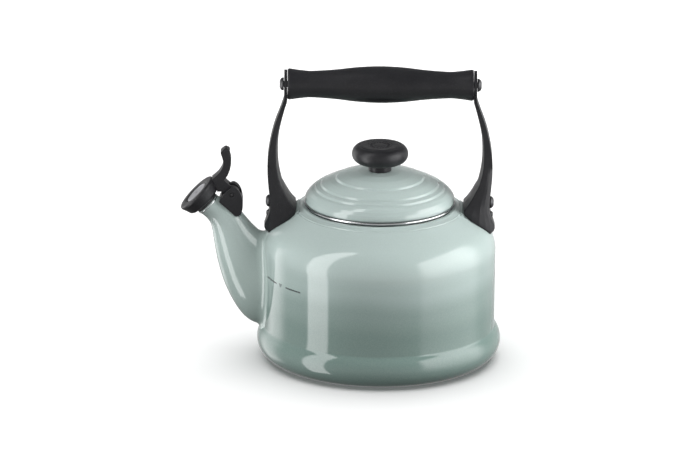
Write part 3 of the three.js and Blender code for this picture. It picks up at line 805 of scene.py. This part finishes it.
def foot_bottom(ring, inset, lift, reach, toe):
    """The foot's lower edge: a section drawn in and set down over the shoulder, no lower than toe."""
    centre = sum(ring, Vector()) / len(ring)
    result = []
    for point in ring:
        x = max(point.x, -reach)
        flat = Vector((x - centre.x, point.y, 0))
        flat *= max(flat.length - inset, 0) / max(flat.length, 1e-6)
        place = Vector((centre.x + flat.x, flat.y, 0))
        place.z = max(shoulder_height(place.x, place.y) + lift, toe)
        result.append(place)
    return result


def lug_tool(grow):
    """The upright block of a lug, as a slab."""
    low_x, high_x, top = -83.6 - grow, -69.6 + grow, 131 + grow
    outline = rounded([
        (low_x, 100, 0), (low_x, top, 1.5), (high_x - 6.4, top, 1.5), (high_x, top - 7, 2),
        (high_x, 100, 0),
    ], True)
    return slab("tool", outline, 6.4 + grow)


PAD_PLAN = [
    (-85.4, 0, 2), (-85.4, 9.0, 2.4), (-83.8, 11, 3), (-78.8, 14, 3), (-71.8, 16.2, 3),
    (-64.4, 16.7, 2.2), (-64.4, 0, 2),
]


def pad_rings(grow, low, high):
    """A plate of even thickness that follows the shoulder."""
    plan = rounded(both_sides(PAD_PLAN), True, 4)
    centre = Vector((-75, 0))

    def ring(scale, inset, lift):
        points = []
        for x, y in plan:
            flat = Vector((x, y)) - centre
            flat *= (flat.length + grow - inset) * scale / flat.length
            place = centre + flat
            points.append(Vector((place.x, place.y, shoulder_height(place.x, place.y) + lift)))
        return points

    rings = [ring(s, 0, low) for s in (0.02, 0.25, 0.5, 0.75, 0.92, 1)]
    rings += [ring(1, 0, high - 0.35), ring(1, 0.12, high - 0.1), ring(1, 0.45, high)]
    rings += [ring(s, 0, high) for s in (0.92, 0.75, 0.5, 0.25, 0.02)]
    return rings


def at_end(piece, end):
    """Pieces are drawn at the -X end. The rear one is turned half round."""
    if end == "rear_side":
        move(piece, Matrix.Rotation(math.pi, 4, "Z"))
    return piece


def build_lug(end):
    lug = skin("pad", pad_rings(0, 0.02, 1.5))
    combine(lug, [soften(lug_tool(0), 0.5)], "UNION")
    combine(lug, [
        rod(SCREW_HOLE, -98, -72, SCREW_Z), rod(PIN_HOLE, -98, -78, PIN_Z),
        body_block(),
    ])
    finish(at_end(lug, end), "kettle", "enamel", [f"{end}_lug"], f"{end}_foot_pad")


def body_block():
    """The body as a solid, to cut its neighbours back to."""
    profile = [(0, OUTLINE[0][1]), *OUTLINE, (0, SHOULDER_END[1])]
    return turn("tool", profile, 192)


def build_arm(end):
    rows = [plate_ring(a) for a in (88, 80, 70, 60, 50, 40, 30, 20, 10, 0, -10, -20, -30)]
    rows += [arm_ring(s) for s in through(ARM_SECTIONS, 5)]
    toes = ((0.0, 2.4, 92.2, 107.9), (0.15, 1.2, 91.5, 106.2), (0.45, 0.6, 90.4, 105.0),
            (0.9, GAP, 89.2, 0))
    rows += [foot_bottom(rows[-1], *toe) for toe in toes]
    arm = skin("arm", rows)
    tools = [
        skin("tool", pad_rings(GAP, -6, 1.9)),
        lug_tool(GAP),
        rod(SCREW_HOLE, -98, -72, SCREW_Z),
        rod(PIN_HOLE, -98, -72, PIN_Z),
        rod(SCREW_HOLE, -98, -70, GRIP_Z),
        rod(3.3, -98, -87.9, PIN_Z),
    ]
    combine(arm, tools)
    finish(at_end(arm, end), "kettle", "phenolic", [f"{end}_arm"], f"{end}_handle_arm",
           angle=33)


def screw(head_r, head_h, shank_r, length, seat, z, recess):
    """A pan-head screw with a cross recess. Its head stands off to -X of its seat."""
    profile = rounded([
        (0, -head_h, 0), (head_r * 0.5, -head_h, 1.0), (head_r * 0.84, -head_h * 0.72, 0.8),
        (head_r, -head_h * 0.34, 0.6), (head_r, 0, 0.2), (shank_r, 0, 0.1),
        (shank_r, length - 0.8, 0.3), (shank_r - 0.7, length, 0.2), (0, length, 0),
    ])
    piece = turn("screw", profile, 64)
    if recess:
        for spin in (0, math.pi / 2):
            half = head_r * 0.46
            blade = [(-half, -half - head_h), (half, -half - head_h), (half, -head_h * 0.8),
                     (half * 0.35, -head_h * 0.42), (-half * 0.35, -head_h * 0.42),
                     (-half, -head_h * 0.8)]
            tool = slab("tool", blade, head_r * 0.1)
            combine(piece, [move(tool, Matrix.Rotation(spin, 4, "Z"))])
    return move(piece, at(seat, z) @ Matrix.Rotation(math.pi / 2, 4, "Y"))


def build_screws(end):
    face = -87.8
    pieces = {
        "grip_screw": screw(5.2, 3.4, 2.5, 20, -PLATE_OUT - GAP, GRIP_Z, True),
        "arm_screw": screw(4.9, 3.4, 2.5, 14, face, SCREW_Z, True),
        "arm_pin": screw(2.7, 2.9, 1.6, 8, face, PIN_Z, False),
    }
    for kind, piece in pieces.items():
        finish(at_end(piece, end), "kettle", "dark_steel", [f"{end}_{kind}"],
               f"{end}_{kind}_head", angle=34)


GRIP_SHAPE = [
    (-72.6, 12.5), (-63, 11.2), (-54, 10.7), (-36, 11.9), (-18, 13.9), (0, 14.7),
    (18, 13.9), (36, 11.9), (54, 10.7), (63, 11.2), (72.6, 12.5),
]


def build_grip():
    bulge = [(r, x) for x, r in through(GRIP_SHAPE, 8)]
    hole = GRIP_HALF - 24
    start = rounded([
        (0, -hole, 0), (4.2, -hole, 0.2), (4.2, -GRIP_HALF, 0.5), (12.1, -GRIP_HALF, 1.4),
        (*bulge[0], 0),
    ], samples=5)
    stop = [(r, -x) for r, x in start[::-1]]

    def seam(angle, radius, height):
        near = min(abs(math.sin(angle)) * radius / 0.8, 1)
        return 0 if radius < 9 else 0.11 * (1 - near) ** 2, 0

    profile = start[:-1] + bulge + stop[1:]
    grip = turn("grip_bar", profile, 160, relief=seam)
    # The seam runs along both sides, level with the grip's axis.
    level = Matrix.Rotation(math.pi / 2, 4, "Z")
    move(grip, at(0, GRIP_Z) @ Matrix.Rotation(math.pi / 2, 4, "Y") @ level)
    finish(grip, "kettle", "phenolic", ["grip"], angle=50)


# ---- Lid ----


def build_lid():
    edge = LID_RIM_TOP + GAP
    seat = NECK_LOW.z - GAP
    base = LID_SEAT
    outer = rounded([
        (57.6, edge, 0), (59.3, edge, 0.7), (59.95, edge + 1.3, 1.2), (59.9, base + 5.4, 2),
        (59.1, base + 7.6, 3), (57.2, base + 10.3, 3), (54.8, base + 12.6, 3),
        (52.1, base + 13.6, 0.6), (51.2, base + 15.35, 1.3), (47.4, base + 16.3, 0.6),
        (46.4, base + 18.0, 1.3), (40, base + 20.7, 8), (35.6, base + 21.8, 0.6),
        (34.6, base + 23.5, 1.3), (26, base + 26.2, 8), (17, base + 27.9, 6),
        (9.8, seat, 3), (2.9, seat, 0),
    ], samples=6)
    inner = rounded([
        (2.9, seat - 1.4, 0), (10, seat - 1.4, 3), (22, base + 25.4, 6), (34, base + 21.6, 4),
        (46.4, base + 15.6, 4), (54.6, base + 10.4, 4), (57.4, base + 6.4, 2), (57.6, edge, 0),
    ])
    lid = turn("lid_dome", [*outer, *inner[:-1]], 176)
    finish(lid, "lid", "enamel", ["lid_shell"], angle=50)

    ring = rounded([
        (COLLAR_HIGH.x - 1, LID_SEAT, 0.2), (LID_RIM_R - 1.9, LID_SEAT, 0.3),
        (LID_RIM_R - 1.7, LID_SEAT + 0.8, 0.4), (LID_RIM_R, LID_SEAT + 0.95, 0.8),
        (LID_RIM_R, LID_RIM_TOP, 0.8), (COLLAR_HIGH.x - 1, LID_RIM_TOP, 0.2),
    ], True)
    finish(turn("lid_ring", ring, 176), "lid", "steel", ["lid_rim"])

    low, high, out = COLLAR_LOW.z, COLLAR_HIGH.z, COLLAR_HIGH.x
    skirt = rounded([
        (out - 1, low, 0.2), (out - 0.2, low, 0.3), (out, low + 3, 0.5), (out - 0.5, low + 3.8, 0.5),
        (out - 0.5, low + 4.6, 0.5), (out, low + 5.4, 0.5), (out, high, 0.1), (out - 1, high, 0.1),
        (out - 1, low + 5.4, 0.5), (out - 1.2, low + 4.2, 0.5), (out - 1, low + 3, 0.5),
    ], True)
    finish(turn("lid_skirt", skirt, 160), "lid", "steel", ["lid_collar"])


def build_knob():
    low, top, out = KNOB_LOW.z, KNOB_HIGH.z, KNOB_HIGH.x
    edge = [(r, z, 0) for r, z in arc(out - 7.4, low + 7.5, 7.4, -75, 66, 20)]

    def groove(radius, z):
        return [(radius + 0.45, z, 0.12), (radius + 0.15, z - 0.4, 0.12),
                (radius - 0.15, z - 0.4, 0.12), (radius - 0.45, z, 0.12)]

    profile = rounded([
        (2.9, low, 0), (13.0, low, 1.2), (14.6, low + 0.35, 0.8), *edge,
        *groove(16.4, top - 0.22), (14.6, top, 0.8), *groove(9.7, top),
        *[(r, top, 0) for r in (9.0, 8.6, 8.0, 7.2, 6.4, 6.0)], *groove(5.0, top), (0, top, 0),
    ], samples=3)
    under = [(0, top - 3.4), (2.9, top - 3.4)]

    def ridges(angle, radius, height):
        inside = 6.3 < radius < 8.5 and height > top - 0.1
        return 0, 0.3 * max(0, math.cos(20 * angle)) ** 0.5 if inside else 0

    knob = turn("lid_knob", [*profile, *under], 160, relief=ridges)
    finish(knob, "lid", "phenolic", ["knob"], angle=36)
    neck = rounded([
        (2.9, NECK_LOW.z, 0), (9.4, NECK_LOW.z, 0.5), (9.4, NECK_LOW.z + 1.0, 0.3),
        (9.15, NECK_LOW.z + 1.3, 0.3), (9.15, NECK_HIGH.z, 0.3), (2.9, NECK_HIGH.z, 0),
    ])
    finish(turn("lid_knob_collar", neck, 96), "lid", "phenolic", ["knob_neck"])


# ---- Whistle ----

MOUTH = DISC - CAP_AXIS * 12.6    # the middle of the spout's mouth
ON_MOUTH = Matrix.Translation(MOUTH * MM) @ Vector((0, 0, 1)).rotation_difference(
    CAP_AXIS).to_matrix().to_4x4()


def on_mouth(name, profile, steps=112):
    return move(turn(name, profile, steps), ON_MOUTH)


def cap_block(grow):
    profile = [
        (0, 3.1 - grow), (15.1 + grow, 3.1 - grow), (15.1 + grow, 4.0), (17.7 + grow, 11.6),
        (17.7 + grow, 13.6 + grow), (0, 13.6 + grow),
    ]
    return move(turn("tool", profile, 112), ON_MOUTH)


def build_cap():
    profile = rounded([
        (7.0, 5.3, 0.2), (10.1, 5.3, 0.2), (10.1, 3.1, 0.4), (13.7, 3.1, 0.6), (15.1, 4.2, 1.2),
        (16.4, 8.2, 8), (17.7, 11.5, 1.2), (17.5, 13.0, 0.8), (16.4, 13.6, 0.7),
        (12.6, 13.55, 0.6), (10.6, 12.95, 0.5), (10.1, 12.0, 0.2), (7.0, 12.0, 0.2),
    ], True, 5)
    cap = on_mouth("cap_shell", profile)
    finish(cap, "whistle", "phenolic", ["whistle_cap"], angle=44)

    def disc(name, height, node):
        plate = rounded([
            (1.2, height - 0.3, 0.1), (9.75, height - 0.3, 0.15), (9.75, height + 0.3, 0.25),
            (8.6, height + 0.3, 0.2), (8.3, height + 0.18, 0.2), (2.6, height + 0.18, 0.3),
            (1.7, height + 0.3, 0.2), (1.2, height + 0.24, 0.15),
        ], True, 3)
        finish(on_mouth(name, plate, 96), "whistle", "disc", [node], angle=50)

    disc("cap_disc", 12.6, "whistle_plate_outer")
    disc("cap_inner_disc", (INNER_DISC - MOUTH).length, "whistle_plate_inner")
    seal = rounded([
        (5, -2.4, 0.2), (6.6, -2.4, 0.5), (7.2, -0.4, 0.4), (7.2, 0.3, 0.2), (9.8, 0.3, 0.3),
        (9.8, 4.2, 0.3), (5, 4.2, 0.2),
    ], True, 4)
    finish(on_mouth("cap_seal", seal, 96), "whistle", "rubber", ["whistle_seal"])


def build_mouth_ring():
    """A bright steel bead round the lip of the spout."""
    ring = arc(9.25, -0.75, 0.9, 0, 345, 23)
    finish(on_mouth("spout_mouth_ring", ring), "kettle", "steel", [], angle=60)


LEVER_HALF = 5.6        # half width of the lever in y
TAB_TOP = 174.2


def lever_outline():
    tab = through([(-134.8, 147), (-128.6, 153), (-125.3, 159.4), (-125.8, 165), (-126.8, 168.0)], 6)
    tip = rounded([(-126.8, 168.0, 0), (-127.4, 170.0, 0.8), (-123.2, 174.0, 1.6),
                   (-119.8, 171.6, 3.0), (-119.9, 168.4, 0)], samples=8)[1:-1]
    back = through([(-119.9, 168.4), (-118.8, 163.2), (-119.6, 156.8), (-121.8, 150.8),
                    (-124.6, 147)], 6)
    root = [(-115.8, 139.4), (-121.4, 132.6), (-126.6, 137.6), (-136, 137.6)]
    return [*tab, *tip, *back, *root]


def build_lever():
    lever = slab("whistle_thumb_lever", lever_outline(), LEVER_HALF)
    # The thumb tab's tip is rounded as seen from the front.
    corner = 4.2
    for side in (-1, 1):
        outline = [(LEVER_HALF - corner, 178), (9, 178), (9, TAB_TOP - corner)]
        outline += arc(LEVER_HALF - corner, TAB_TOP - corner, corner, 0, 90, 8)
        front = [(-134, side * y, z) for y, z in outline]
        back = [(-112, side * y, z) for y, z in outline]
        combine(lever, [skin("tool", [front, back])])
    soften(lever, 0.8, 4)
    combine(lever, [on_pivot(6.2, LEVER_HALF, 72)], "UNION")
    # The spring's slot.
    slot = slab("tool", [(-7.5, -7.5), (7.5, -7.5), (7.5, 7.5), (-7.5, 7.5)], 2.9)
    move(slot, at(PIVOT.x + 0.6, PIVOT.z - 0.6) @ Matrix.Rotation(-math.pi / 4, 4, "Y"))
    combine(lever, [cap_block(GAP), slot, on_pivot(HINGE_HOLE, 18)])
    finish(lever, "whistle", "phenolic", ["whistle_lever"], angle=42)


def bracket_outline():
    return through([
        (-128.2, 130), (-127.6, 131.4), (-124.8, 136.0), (-121.4, 139.8), (-117, 142.2),
        (-112.6, 139.4), (-109.9, 133), (-109.4, 125.4),
        (-111.2, 119.4), (-114, 118.2), (-115.8, 118.6),
    ], 5)


def build_bracket():
    px, pz = PIVOT.x, PIVOT.z
    room = 7.4              # radius kept free round the lever's hub
    bracket = soften(slab("spout_clevis", bracket_outline(), 9.4), 1.3, 5)
    swing = [(px - 26, pz - 3), (px - room, pz - 3), (px + room, pz - 1), (px + 16, pz - 1),
             (px + 16, pz + 20), (px - 26, pz + 20)]
    tab = [(-122.3, 112), (-122.3, 130.5), (-111.7, 123.9), (-111.7, 112)]
    combine(bracket, [
        spout_solid("tool", GAP), on_pivot(room, 6.1, 72),
        slab("tool", swing, 6.1), slab("tool", tab, 1.3),
    ])
    combine(bracket, [on_pivot(HINGE_HOLE, 18)])
    finish(bracket, "kettle", "phenolic", ["whistle_bracket"], angle=42)


def build_hinge():
    low, high = span("hinge_pin")
    profile = rounded([
        (0, low.y, 0), (1.4, low.y, 0.35), (1.4, high.y, 0.35), (0, high.y, 0),
    ])
    pin = turn("clevis_pin", profile, 48)
    move(pin, at(PIVOT.x, PIVOT.z) @ Matrix.Rotation(-math.pi / 2, 4, "X"))
    finish(pin, "kettle", "dark_steel", ["hinge_pin"])

    turns = 3.75
    steps = 150
    rings = []
    for i in range(steps + 1):
        t = i / steps
        angle = 2 * math.pi * turns * t
        out = Vector((math.sin(angle), 0, -math.cos(angle)))
        centre = Vector((PIVOT.x, 2.1 * (2 * t - 1), PIVOT.z)) + out * 3.1
        ring = []
        for k in range(12):
            spin = 2 * math.pi * k / 12
            ring.append(centre + out * (0.4 * math.cos(spin)) + Vector((0, 0.4 * math.sin(spin), 0)))
        rings.append(ring)
    finish(skin("clevis_spring", rings), "kettle", "steel", ["hinge_spring"], angle=60)


# ---- Carried-over CAD pieces ----


def dress_cad():
    looks = {
        "spout_tab": "enamel", "knob_screw": "steel", "knob_washer": "steel",
        "spout_side_grip_insert": "brass", "rear_side_grip_insert": "brass",
    }
    for node, look in looks.items():
        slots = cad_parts[node].data.materials
        slots.clear()
        slots.append(LOOKS[look])


# ---- Floor, light and camera ----


def direction(azimuth, elevation):
    """Azimuth 0 is towards the camera, positive to the right."""
    a, e = math.radians(azimuth), math.radians(elevation)
    return Vector((math.sin(a) * math.cos(e), -math.cos(a) * math.cos(e), math.sin(e)))


def card(name, azimuth, elevation, distance, width, height, power, diffuse=True, glossy=False,
         target=(0, 0, 0.12), fade=None):
    """A rectangular light that faces its target, in metres and watts."""
    light = bpy.data.lights.new(name, "AREA")
    light.shape = "RECTANGLE"
    light.size = width
    light.size_y = height
    light.energy = power
    if fade:
        fade_card(light, fade)
    lamp = bpy.data.objects.new(name, light)
    way = direction(azimuth, elevation)
    lamp.location = Vector(target) + way * distance
    lamp.rotation_euler = way.to_track_quat("Z", "Y").to_euler()
    lamp.visible_camera = False
    lamp.visible_diffuse = diffuse
    lamp.visible_glossy = glossy
    bpy.context.scene.collection.objects.link(lamp)
    return lamp


def fade_card(light, fade):
    """Dims a card towards its edges: shares of its size at one side, other side, foot, head."""
    light.use_nodes = True
    nodes, links = light.node_tree.nodes, light.node_tree.links
    place = nodes.new("ShaderNodeNewGeometry")
    split = nodes.new("ShaderNodeSeparateXYZ")
    links.new(place.outputs["Parametric"], split.inputs["Vector"])
    strength = nodes["Emission"].inputs["Strength"]
    for axis, first, last in (("X", *fade[:2]), ("Y", *fade[2:])):
        for start, stop in ((0, first), (1, 1 - last)):
            if start == stop:
                continue
            step = nodes.new("ShaderNodeMapRange")
            step.interpolation_type = "SMOOTHSTEP"
            step.inputs["From Min"].default_value = start
            step.inputs["From Max"].default_value = stop
            links.new(split.outputs[axis], step.inputs["Value"])
            times = nodes.new("ShaderNodeMath")
            times.operation = "MULTIPLY"
            times.inputs[1].default_value = 1
            links.new(step.outputs["Result"], times.inputs[0])
            links.new(times.outputs["Value"], strength)
            strength = times.inputs[1]


def upright(name, azimuth, distance, width, low, high, power, **more):
    """A standing card that gives gloss only, from one height to another."""
    return card(name, azimuth, 0, distance, width, high - low, power, diffuse=False, glossy=True,
                target=(0, 0, (low + high) / 2), **more)


def build_floor():
    """A pale floor, which glows more further out so that it stays white away from its light."""
    half = 6000
    corners = [(-half, -half, 0), (half, -half, 0), (half, half, 0), (-half, half, 0)]
    floor = make("floor", corners, [(0, 1, 2, 3)])
    look = Look("floor", Roughness=0.8)
    tone = look.ranged(look.noise(3, 2), 0.3, 0.7, 0, 1)
    look.colour(look.blend(tone, (0.80, 0.80, 0.80), (0.82, 0.82, 0.82)))
    look.bump((look.noise(300, 2), 0.02))
    look.shader.inputs["Emission Color"].default_value = (1, 1, 1, 1)
    away = look.nodes.new("ShaderNodeVectorMath")
    away.operation = "LENGTH"
    look.links.new(look.place, away.inputs[0])
    glow = look.ranged(away.outputs["Value"], 0.35, 1.6, 0.08, 1.0)
    look.links.new(glow, look.shader.inputs["Emission Strength"])
    floor.data.materials.append(look.material)
    floor.visible_glossy = False
    floor.visible_diffuse = False


# Brightness of the studio's surroundings from straight down (0) over level (0.5) to straight up (1).
SKY = [(0.0, 0.16), (0.25, 0.44), (0.40, 0.72), (0.50, 0.60), (0.58, 0.42), (0.70, 0.16), (1.0, 0.10)]


def build_world():
    """The camera sees white. Everything else is lit by, and mirrors, the surroundings."""
    world = bpy.data.worlds.new("studio")
    bpy.context.scene.world = world
    world.use_nodes = True
    nodes, links = world.node_tree.nodes, world.node_tree.links
    nodes.clear()
    place = nodes.new("ShaderNodeTexCoord")
    split = nodes.new("ShaderNodeSeparateXYZ")
    links.new(place.outputs["Generated"], split.inputs["Vector"])
    ramp = nodes.new("ShaderNodeValToRGB")
    shift = nodes.new("ShaderNodeMapRange")
    shift.inputs["From Min"].default_value = -1
    links.new(split.outputs["Z"], shift.inputs["Value"])
    links.new(shift.outputs["Result"], ramp.inputs["Fac"])
    set_stops(ramp.color_ramp, [(place, (grey, grey, grey)) for place, grey in SKY])
    sky = nodes.new("ShaderNodeBackground")
    links.new(ramp.outputs["Color"], sky.inputs["Color"])
    white = nodes.new("ShaderNodeBackground")
    white.inputs["Color"].default_value = (1, 1, 1, 1)
    path = nodes.new("ShaderNodeLightPath")
    mix = nodes.new("ShaderNodeMixShader")
    links.new(path.outputs["Is Camera Ray"], mix.inputs["Fac"])
    links.new(sky.outputs["Background"], mix.inputs[1])
    links.new(white.outputs["Background"], mix.inputs[2])
    output = nodes.new("ShaderNodeOutputWorld")
    links.new(mix.outputs["Shader"], output.inputs["Surface"])


def leave_out(name, lamps, things):
    """These lamps light everything but these things."""
    others = bpy.data.collections.new(name)
    for thing in things:
        others.objects.link(thing)
    for link in others.collection_objects:
        link.light_linking.link_state = "EXCLUDE"
    for lamp in lamps:
        lamp.light_linking.receiver_collection = others


def build_lights():
    """Uprights make the highlights and soft cards the shading. The floor has one light of its own."""
    floor = bpy.data.objects["floor"]
    arms = [bpy.data.objects[f"{end}_handle_arm"] for end in ENDS]
    left = [
        upright("strip_left", -62.5, 2.0, 0.89, -1.7, 7.0, 124, fade=(0.08, 0.08, 0, 0.02)),
        upright("panel_left", -125, 2.0, 1.8, -1.5, 1.2, 28, fade=(0.4, 0.4, 0.2, 0.2)),
    ]
    right = upright("panel_right", 80, 2.0, 3.6, -1.5, 1.95, 168, fade=(0.12, 0.3, 0.75, 0.02))
    soft = [
        card("soft_left", -85, 24, 1.3, 0.9, 0.7, 22),
        card("soft_front", -10, 26, 1.3, 0.9, 0.7, 11),
        card("soft_right", 85, 24, 1.3, 0.9, 0.7, 37),
        card("back_left", -150, 30, 1.6, 1.2, 0.9, 12),
        card("back_right", 150, 30, 1.6, 1.2, 0.9, 12),
    ]
    leave_out("all_but_floor", soft, [floor])
    leave_out("all_but_floor_and_arms", left, [floor, *arms])
    leave_out("all_but_floor_and_grip", [right], [floor, bpy.data.objects["grip_bar"]])
    only = bpy.data.collections.new("floor_only")
    only.objects.link(floor)
    over = card("over_floor", 180, 80, 1.5, 2.6, 2.6, 61, target=(0, 0, 0.1))
    over.light_linking.receiver_collection = only


def build_camera():
    """A long lens, 17.5 degrees above level, aimed a little to the left of the kettle."""
    distance = 9.0
    pixels_per_metre = 1250
    tilt = Matrix.Rotation(math.radians(90 - 17.5), 4, "X")
    turned = tilt @ Matrix.Rotation(math.radians(0.42), 4, "Z")
    place = Vector((0, 0, 0.110)) + turned @ Vector((-0.0316, -0.0022, distance))
    data = bpy.data.cameras.new("camera")
    data.sensor_fit = "HORIZONTAL"
    data.sensor_width = 36
    data.lens = data.sensor_width * distance * pixels_per_metre / 680
    data.clip_start = 0.5
    data.clip_end = 40
    camera = bpy.data.objects.new("camera", data)
    camera.matrix_world = Matrix.Translation(place) @ turned
    bpy.context.scene.collection.objects.link(camera)
    bpy.context.scene.camera = camera


# ---- Scene ----

build_camera()
build_body()
build_pan()
build_fill_mark()
build_spout()
for end in ENDS:
    build_lug(end)
    build_arm(end)
    build_screws(end)
build_grip()
build_lid()
build_knob()
build_mouth_ring()
build_cap()
build_lever()
build_bracket()
build_hinge()
dress_cad()
build_floor()
build_world()
build_lights()
bpy.context.scene.view_settings.view_transform = "Standard"
